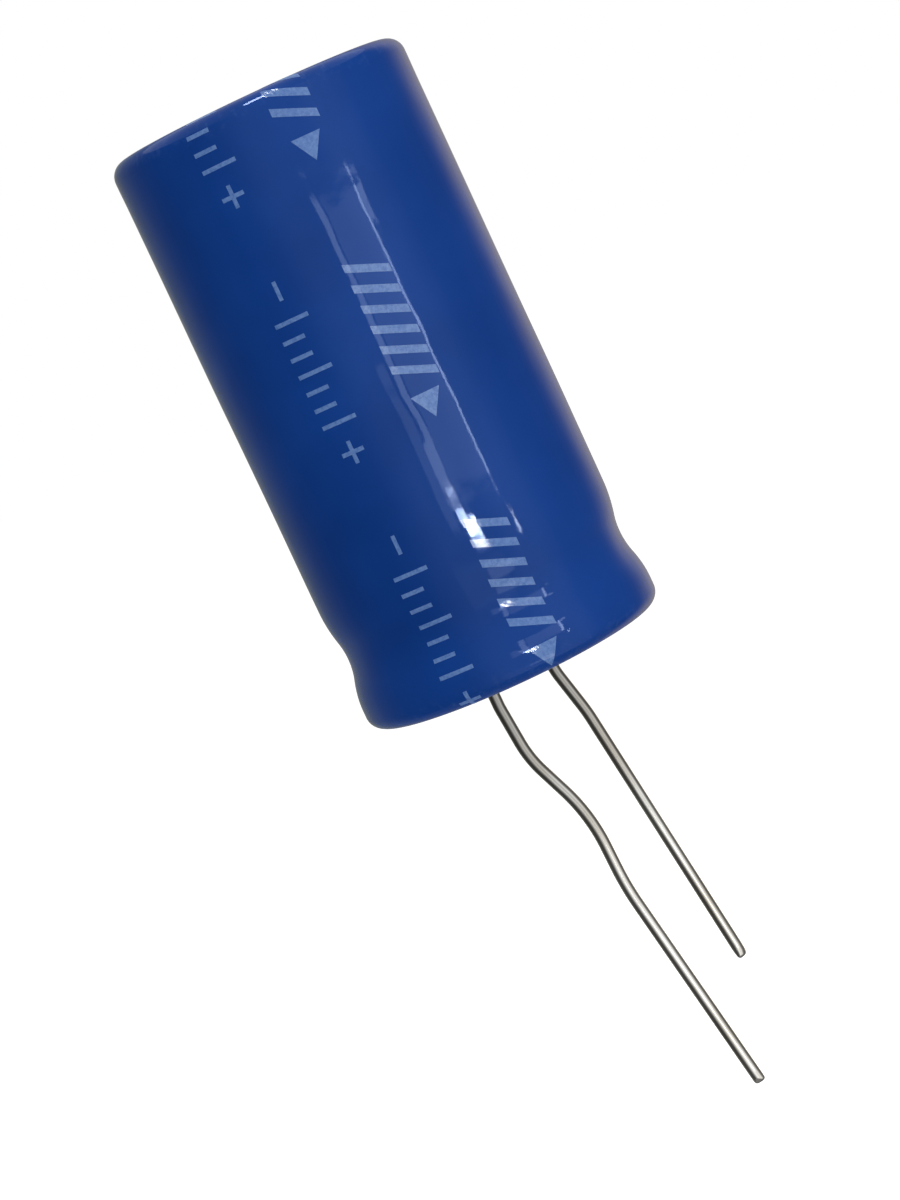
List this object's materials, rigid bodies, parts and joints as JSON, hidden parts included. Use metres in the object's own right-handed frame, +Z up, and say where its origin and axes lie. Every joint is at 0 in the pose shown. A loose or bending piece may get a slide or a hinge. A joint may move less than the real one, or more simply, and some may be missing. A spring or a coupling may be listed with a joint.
{
  "type": "electrolytic capacitor",
  "caption": "Radial aluminium electrolytic capacitor: sleeved can with a crimped rim, rubber seal, wound foils and formed wire leads.",
  "frame": {"origin": "centre of the seating plane under the sleeved rim, midway between the two leads where they leave the rubber", "axes": "+Z up the can to its closed end, with the leads hanging down -Z; +X from the cathode lead to the anode lead"},
  "size_m": [0.013, 0.013, 0.0447],
  "materials": {
    "sleeve_film": "glossy shrunk film",
    "can_aluminium": "drawn, satin",
    "seal_rubber": "matt",
    "tinned_wire": "bright tin",
    "tab_aluminium": "plain",
    "etched_foil": "matt, etched",
    "plain_foil": "satin",
    "separator_paper": "soaked paper",
    "tape_film": "adhesive film"
  },
  "bodies": {
    "root": {"sleeve": "sleeve_film", "can": "can_aluminium", "end_seal": "seal_rubber", "anode_lead": "tinned_wire", "cathode_lead": "tinned_wire", "anode_tab": "tab_aluminium", "cathode_tab": "tab_aluminium", "anode_foil": "etched_foil", "cathode_foil": "plain_foil", "inner_separator": "separator_paper", "outer_separator": "separator_paper", "winding_tape": "tape_film"}
  },
  "joints": []
}
